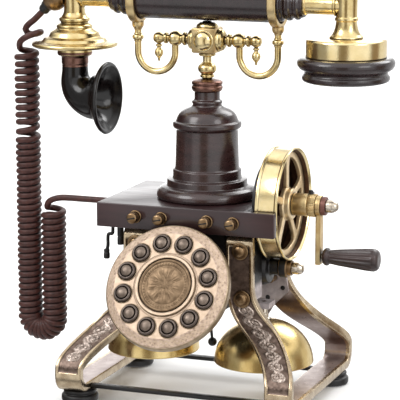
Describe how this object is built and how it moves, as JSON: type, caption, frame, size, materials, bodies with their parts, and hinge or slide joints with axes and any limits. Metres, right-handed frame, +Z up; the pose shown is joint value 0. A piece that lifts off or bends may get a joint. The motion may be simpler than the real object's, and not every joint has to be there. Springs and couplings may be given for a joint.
{
  "type": "hand-crank desk telephone",
  "caption": "Skeleton-frame desk telephone with a turned column, sprung cradle, lift-off handset with a horn, push-key dial, crank wheel driving a magneto, and bells.",
  "frame": {"origin": "on the floor under the column's axis", "axes": "+Z up along the column; -Y towards the user, the side the dial is on; +X towards the crank and the receiver"},
  "size_m": [0.2816, 0.1717, 0.2931],
  "materials": {
    "lacquered_wood": "gloss lacquer, near black",
    "copper": "polished copper",
    "spring_steel": "bright steel",
    "engraved_brass": "darkened brass strap with polished edges and embossed scrolls",
    "black_steel": "satin black",
    "bronze": "dark bronze",
    "rubber": "matt",
    "black_plastic": "satin",
    "bell_brass": "bright yellow brass",
    "coil_winding": "enamelled winding",
    "dial_dark": "dark bronze lacquer",
    "dial_cream": "pale satin brass with an engraved band",
    "circuit_board": "satin",
    "key_grey": "dark grey",
    "polished_brass": "polished antique brass",
    "dark_wood": "near-black, satin",
    "black_gloss": "gloss black",
    "cord_brown": "satin"
  },
  "bodies": {
    "base": {"deck": "lacquered_wood", "column": "lacquered_wood", "column_collar": "copper", "hook_spring": "spring_steel", "side_loop_left": "engraved_brass", "side_loop_right": "engraved_brass", "corner_blocks": "black_steel", "leg_screws": "bronze", "cross_bars": "black_steel", "feet": "rubber", "case_shell": "black_steel", "case_base": "black_steel", "line_jack": "black_plastic", "bell_bar": "black_steel", "bell_posts": "spring_steel", "bell_left": "bell_brass", "bell_right": "bell_brass", "ringer_coils": "coil_winding", "dial_bracket": "black_steel", "dial_housing": "dial_dark", "dial_face": "dial_cream", "dial_medallion": "bronze", "key_board": "circuit_board", "terminals": "bronze", "wheel_bracket": "black_steel", "magneto_case": "black_steel", "deck_gland": "black_plastic", "cord_lower": "cord_brown", "cord_coil": "cord_brown"},
    "key_01": {"key_01": "key_grey"},
    "key_02": {"key_02": "key_grey"},
    "key_03": {"key_03": "key_grey"},
    "key_04": {"key_04": "key_grey"},
    "key_05": {"key_05": "key_grey"},
    "key_06": {"key_06": "key_grey"},
    "key_07": {"key_07": "key_grey"},
    "key_08": {"key_08": "key_grey"},
    "key_09": {"key_09": "key_grey"},
    "key_10": {"key_10": "key_grey"},
    "key_11": {"key_11": "key_grey"},
    "key_12": {"key_12": "key_grey"},
    "crank": {"drive_wheel": "polished_brass", "crank_shaft": "spring_steel", "crank_arm": "polished_brass"},
    "crank_grip": {"crank_handle": "dark_wood"},
    "magneto": {"magneto_rotor": "black_steel"},
    "cradle": {"cradle_stem": "polished_brass", "cradle_bar": "polished_brass", "cradle_hooks": "polished_brass"},
    "handset": {"handset_grip": "dark_wood", "handset_collars": "dark_wood", "handset_tubes": "polished_brass", "receiver_stem": "polished_brass", "receiver_cap": "polished_brass", "receiver_shell": "black_gloss", "transmitter_stem": "polished_brass", "transmitter_horn": "black_gloss", "cord_knob": "bronze", "cord_upper": "cord_brown"},
    "clapper": {"clapper": "black_steel"}
  },
  "joints": [
    {"name": "key_01_press", "type": "slide", "parent": "base", "child": "key_01", "axis": [0, 0.8704, -0.4924], "range_m": [0, 0.002], "stiffness_N_per_m": 100, "springref_m": -0.001},
    {"name": "key_02_press", "type": "slide", "parent": "base", "child": "key_02", "axis": [0, 0.8704, -0.4924], "range_m": [0, 0.002], "stiffness_N_per_m": 100, "springref_m": -0.001},
    {"name": "key_03_press", "type": "slide", "parent": "base", "child": "key_03", "axis": [0, 0.8704, -0.4924], "range_m": [0, 0.002], "stiffness_N_per_m": 100, "springref_m": -0.001},
    {"name": "key_04_press", "type": "slide", "parent": "base", "child": "key_04", "axis": [0, 0.8704, -0.4924], "range_m": [0, 0.002], "stiffness_N_per_m": 100, "springref_m": -0.001},
    {"name": "key_05_press", "type": "slide", "parent": "base", "child": "key_05", "axis": [0, 0.8704, -0.4924], "range_m": [0, 0.002], "stiffness_N_per_m": 100, "springref_m": -0.001},
    {"name": "key_06_press", "type": "slide", "parent": "base", "child": "key_06", "axis": [0, 0.8704, -0.4924], "range_m": [0, 0.002], "stiffness_N_per_m": 100, "springref_m": -0.001},
    {"name": "key_07_press", "type": "slide", "parent": "base", "child": "key_07", "axis": [0, 0.8704, -0.4924], "range_m": [0, 0.002], "stiffness_N_per_m": 100, "springref_m": -0.001},
    {"name": "key_08_press", "type": "slide", "parent": "base", "child": "key_08", "axis": [0, 0.8704, -0.4924], "range_m": [0, 0.002], "stiffness_N_per_m": 100, "springref_m": -0.001},
    {"name": "key_09_press", "type": "slide", "parent": "base", "child": "key_09", "axis": [0, 0.8704, -0.4924], "range_m": [0, 0.002], "stiffness_N_per_m": 100, "springref_m": -0.001},
    {"name": "key_10_press", "type": "slide", "parent": "base", "child": "key_10", "axis": [0, 0.8704, -0.4924], "range_m": [0, 0.002], "stiffness_N_per_m": 100, "springref_m": -0.001},
    {"name": "key_11_press", "type": "slide", "parent": "base", "child": "key_11", "axis": [0, 0.8704, -0.4924], "range_m": [0, 0.002], "stiffness_N_per_m": 100, "springref_m": -0.001},
    {"name": "key_12_press", "type": "slide", "parent": "base", "child": "key_12", "axis": [0, 0.8704, -0.4924], "range_m": [0, 0.002], "stiffness_N_per_m": 100, "springref_m": -0.001},
    {"name": "crank_turn", "type": "hinge", "parent": "base", "child": "crank", "pos_m": [0, 0, 0.141], "axis": [1, 0, 0], "continuous": true},
    {"name": "handle_spin", "type": "hinge", "parent": "crank", "child": "crank_grip", "pos_m": [0.1, 0, 0.1055], "axis": [1, 0, 0], "continuous": true},
    {"name": "magneto_spin", "type": "hinge", "parent": "base", "child": "magneto", "pos_m": [0.05, 0, 0.0954], "axis": [1, 0, 0], "continuous": true},
    {"name": "handset_lift", "type": "slide", "parent": "base", "child": "handset", "axis": [0, 0, 1], "range_m": [0, 0.06]},
    {"name": "cradle_lift", "type": "slide", "parent": "base", "child": "cradle", "axis": [0, 0, 1], "range_m": [0, 0.004], "deforming": ["hook_spring"]},
    {"name": "clapper_swing", "type": "hinge", "parent": "base", "child": "clapper", "pos_m": [0, 0, 0.076], "axis": [0, 1, 0], "range_deg": [-2, 13.7], "stiffness_Nm_per_rad": 0.02}
  ],
  "couplings": [
    {"joint": "magneto_spin", "follows": "crank_turn", "ratio": -5.5},
    {"joint": "cradle_lift", "follows": "handset_lift", "ratio": 0.0666}
  ]
}
